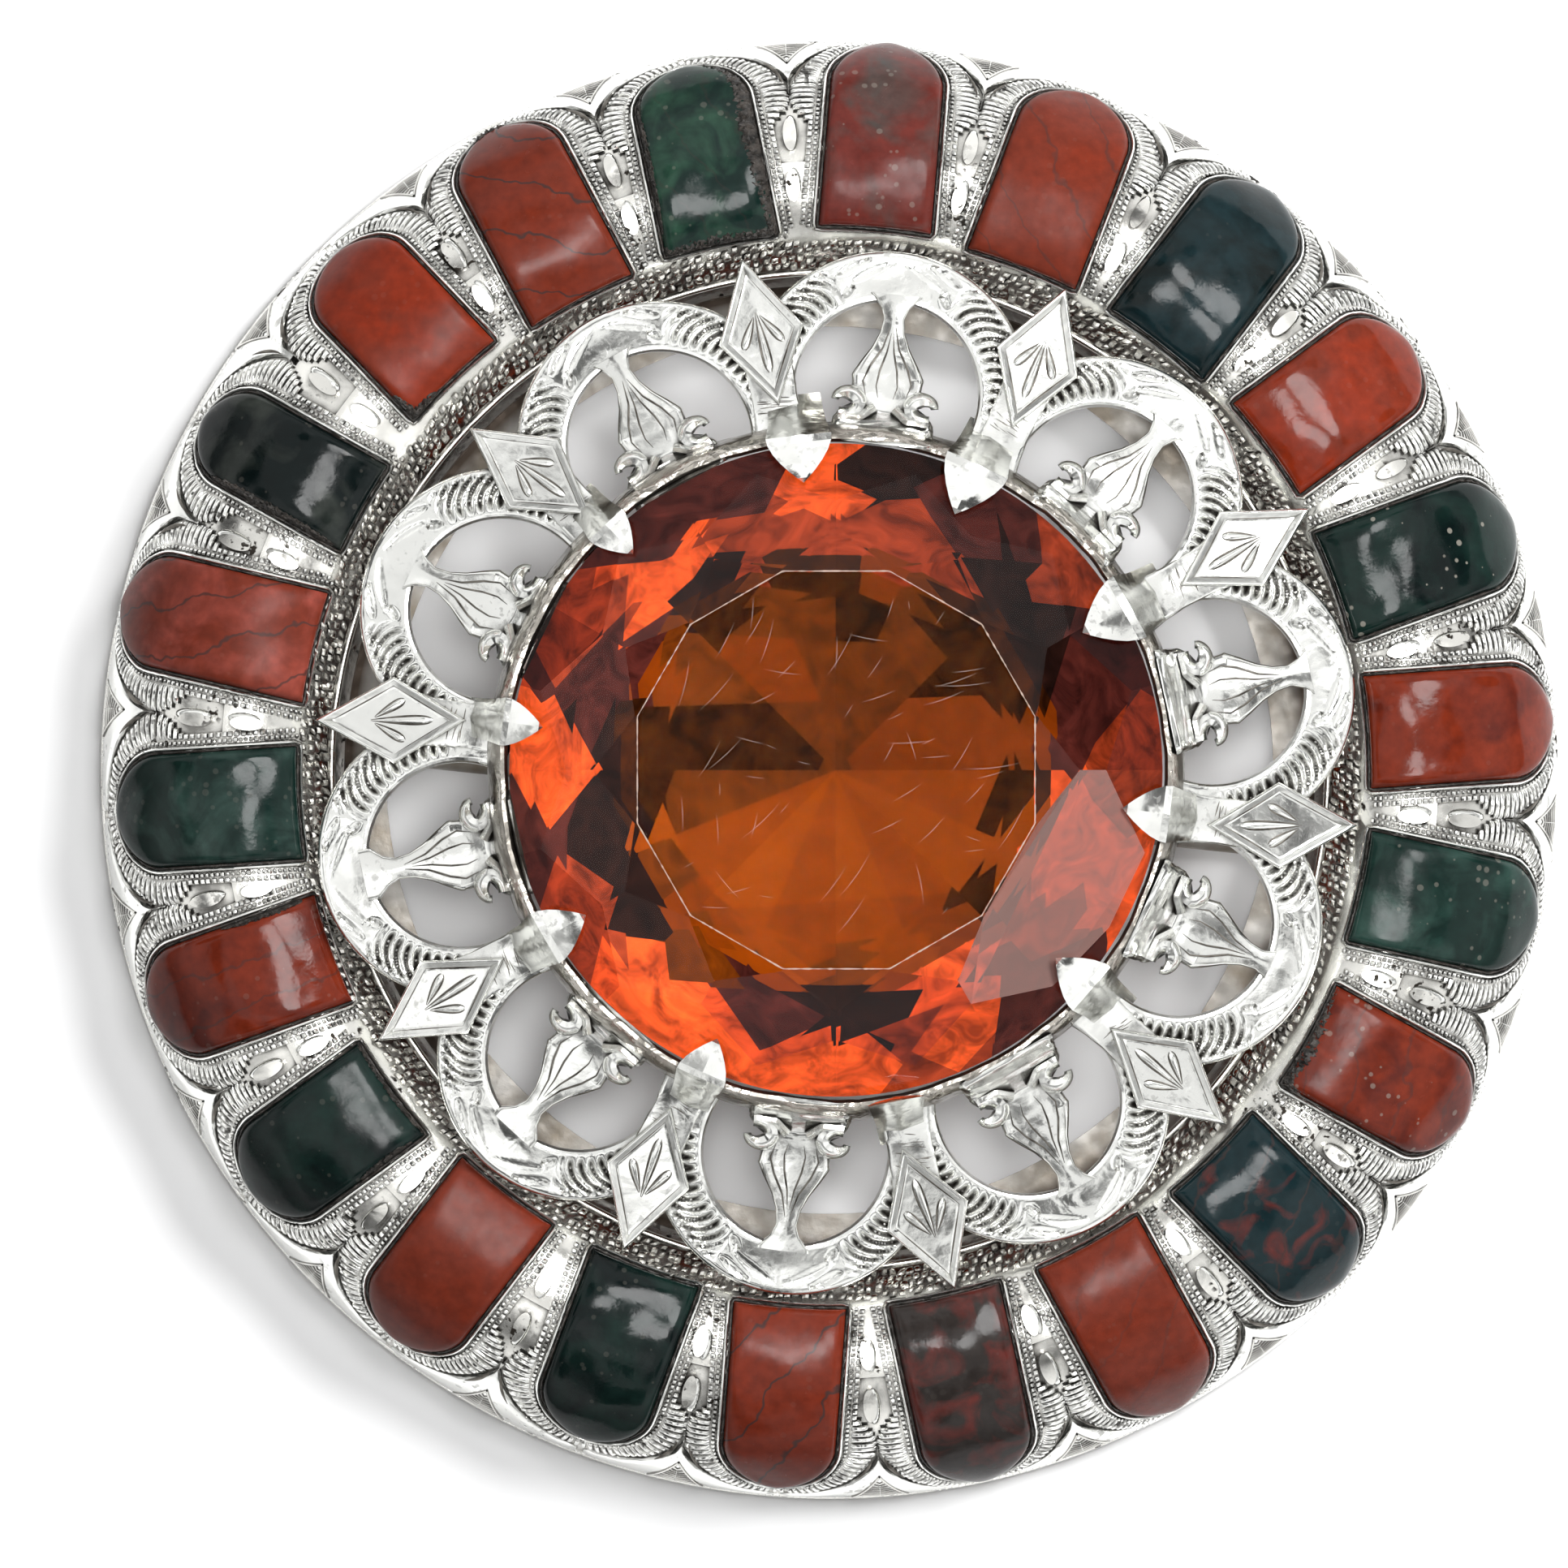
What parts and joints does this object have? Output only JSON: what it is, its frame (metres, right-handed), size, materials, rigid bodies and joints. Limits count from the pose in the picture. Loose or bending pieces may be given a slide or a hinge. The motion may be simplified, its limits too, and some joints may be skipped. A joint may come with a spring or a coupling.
{
  "type": "plaid brooch",
  "caption": "Round silver plaid brooch with a domed, agate-inlaid ring and a raised pierced gallery holding a large faceted citrine; pins a shawl or plaid.",
  "frame": {"origin": "centre of the ring's foot, on the plane that the brooch rests on", "axes": "+Z out of the face towards the viewer, +Y to the top of the face, +X to its right"},
  "size_m": [0.076, 0.076, 0.0176],
  "materials": {
    "silver": "polished",
    "silver_back": "satin",
    "citrine": "polished",
    "agate_red": "polished",
    "agate_green": "polished"
  },
  "bodies": {
    "root": {"ring_frame": "silver", "back_plate": "silver_back", "gallery": "silver", "citrine": "citrine", "brooch_pin": "silver_back", "agate_01": "agate_green", "agate_02": "agate_red", "agate_03": "agate_red", "agate_04": "agate_green", "agate_05": "agate_red", "agate_06": "agate_green", "agate_07": "agate_red", "agate_08": "agate_green", "agate_09": "agate_red", "agate_10": "agate_green", "agate_11": "agate_red", "agate_12": "agate_green", "agate_13": "agate_red", "agate_14": "agate_green", "agate_15": "agate_red", "agate_16": "agate_green", "agate_17": "agate_red", "agate_18": "agate_green", "agate_19": "agate_red", "agate_20": "agate_green", "agate_21": "agate_red", "agate_22": "agate_red"}
  },
  "joints": []
}
